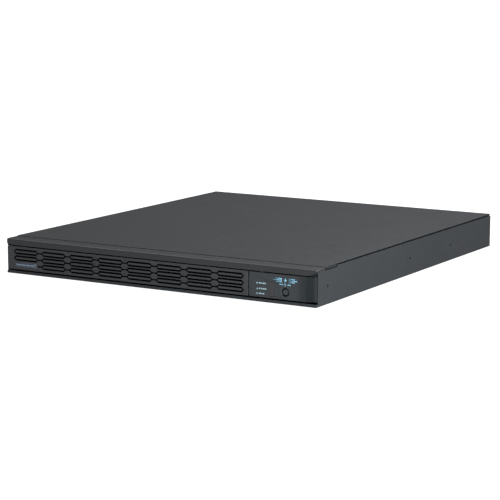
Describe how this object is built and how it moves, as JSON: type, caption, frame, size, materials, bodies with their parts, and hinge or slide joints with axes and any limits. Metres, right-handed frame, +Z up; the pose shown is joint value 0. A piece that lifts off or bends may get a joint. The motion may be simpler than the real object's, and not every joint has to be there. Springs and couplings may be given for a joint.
{
  "type": "rackmount ups",
  "caption": "Low rack-width uninterruptible power supply with a slotted pull-off front grille over a battery drawer, a control panel with a push button, and rear mains sockets and fans.",
  "frame": {"origin": "centre of the underside", "axes": "front faces -Y, +X to the right seen from the front, +Z up"},
  "size_m": [0.43, 0.49, 0.0435],
  "materials": {
    "painted_steel": "fine-textured charcoal powder coat",
    "grille_plastic": "grained charcoal moulding",
    "panel_plastic": "satin charcoal moulding",
    "smoked_lens": "dark smoked window",
    "zinc_steel": "zinc-plated sheet",
    "screw_steel": "plated screw",
    "black_plastic": "black glass-filled moulding",
    "circuit_board": "solder-masked glass-fibre laminate",
    "aluminium": "extruded, as drawn",
    "ferrite": "sintered core",
    "copper_wire": "varnished copper winding",
    "cell_wrap": "heat-shrink wrap",
    "indicator_lens": "milky clear lens",
    "filter_foam": "open-cell foam"
  },
  "bodies": {
    "chassis": {"control_panel": "panel_plastic", "status_window": "smoked_lens", "control_board": "circuit_board", "switch_body": "black_plastic", "led_1": "indicator_lens", "led_2": "indicator_lens", "led_3": "indicator_lens", "control_bracket": "zinc_steel", "divider_wall": "zinc_steel", "bay_rear_wall": "zinc_steel", "chassis_connector": "black_plastic", "main_board": "circuit_board", "heat_sink_1": "aluminium", "heat_sink_2": "aluminium", "transformer_core": "ferrite", "transformer_coil": "copper_wire", "choke": "copper_wire", "capacitor_1": "black_plastic", "capacitor_2": "black_plastic", "capacitor_3": "black_plastic", "relay_1": "black_plastic", "relay_2": "black_plastic", "rear_panel": "painted_steel", "fan_frame_left": "black_plastic", "fan_frame_right": "black_plastic", "mains_inlet": "black_plastic", "outlet_1": "black_plastic", "outlet_2": "black_plastic", "outlet_3": "black_plastic", "outlet_4": "black_plastic", "breaker_body": "black_plastic", "data_port": "zinc_steel", "option_cover": "painted_steel", "option_screw_left": "screw_steel", "option_screw_right": "screw_steel", "ground_screw": "screw_steel", "chassis_tray": "painted_steel", "top_cover": "painted_steel", "front_hood": "painted_steel"},
    "battery_drawer": {"battery_module_1": "cell_wrap", "battery_module_2": "cell_wrap", "battery_module_3": "cell_wrap", "battery_module_4": "cell_wrap", "battery_module_5": "cell_wrap", "battery_module_6": "cell_wrap", "battery_module_7": "cell_wrap", "battery_module_8": "cell_wrap", "battery_tray": "zinc_steel", "battery_board": "circuit_board", "drawer_connector": "black_plastic", "drawer_handle": "black_plastic", "drawer_screw_left": "screw_steel", "drawer_screw_right": "screw_steel"},
    "grille": {"grille_panel": "grille_plastic", "dust_filter": "filter_foam"},
    "power_button": {"power_button": "panel_plastic"},
    "breaker_button": {"breaker_button": "indicator_lens"},
    "fan_rotor_left": {"fan_rotor_left": "black_plastic"},
    "fan_rotor_right": {"fan_rotor_right": "black_plastic"}
  },
  "joints": [
    {"name": "battery_drawer_slide", "type": "slide", "parent": "chassis", "child": "battery_drawer", "axis": [0, -1, 0], "range_m": [0, 0.29]},
    {"name": "grille_pull_off", "type": "slide", "parent": "battery_drawer", "child": "grille", "axis": [0, -1, 0], "range_m": [0, 0.05]},
    {"name": "power_button_press", "type": "slide", "parent": "chassis", "child": "power_button", "axis": [0, 1, 0], "range_m": [0, 0.0012], "stiffness_N_per_m": 600},
    {"name": "breaker_reset_press", "type": "slide", "parent": "chassis", "child": "breaker_button", "axis": [0, -1, 0], "range_m": [0, 0.002], "stiffness_N_per_m": 800},
    {"name": "fan_left_spin", "type": "hinge", "parent": "chassis", "child": "fan_rotor_left", "pos_m": [-0.185, 0.2311, 0.0217], "axis": [0, 1, 0], "continuous": true},
    {"name": "fan_right_spin", "type": "hinge", "parent": "chassis", "child": "fan_rotor_right", "pos_m": [-0.141, 0.2311, 0.0217], "axis": [0, 1, 0], "continuous": true}
  ]
}
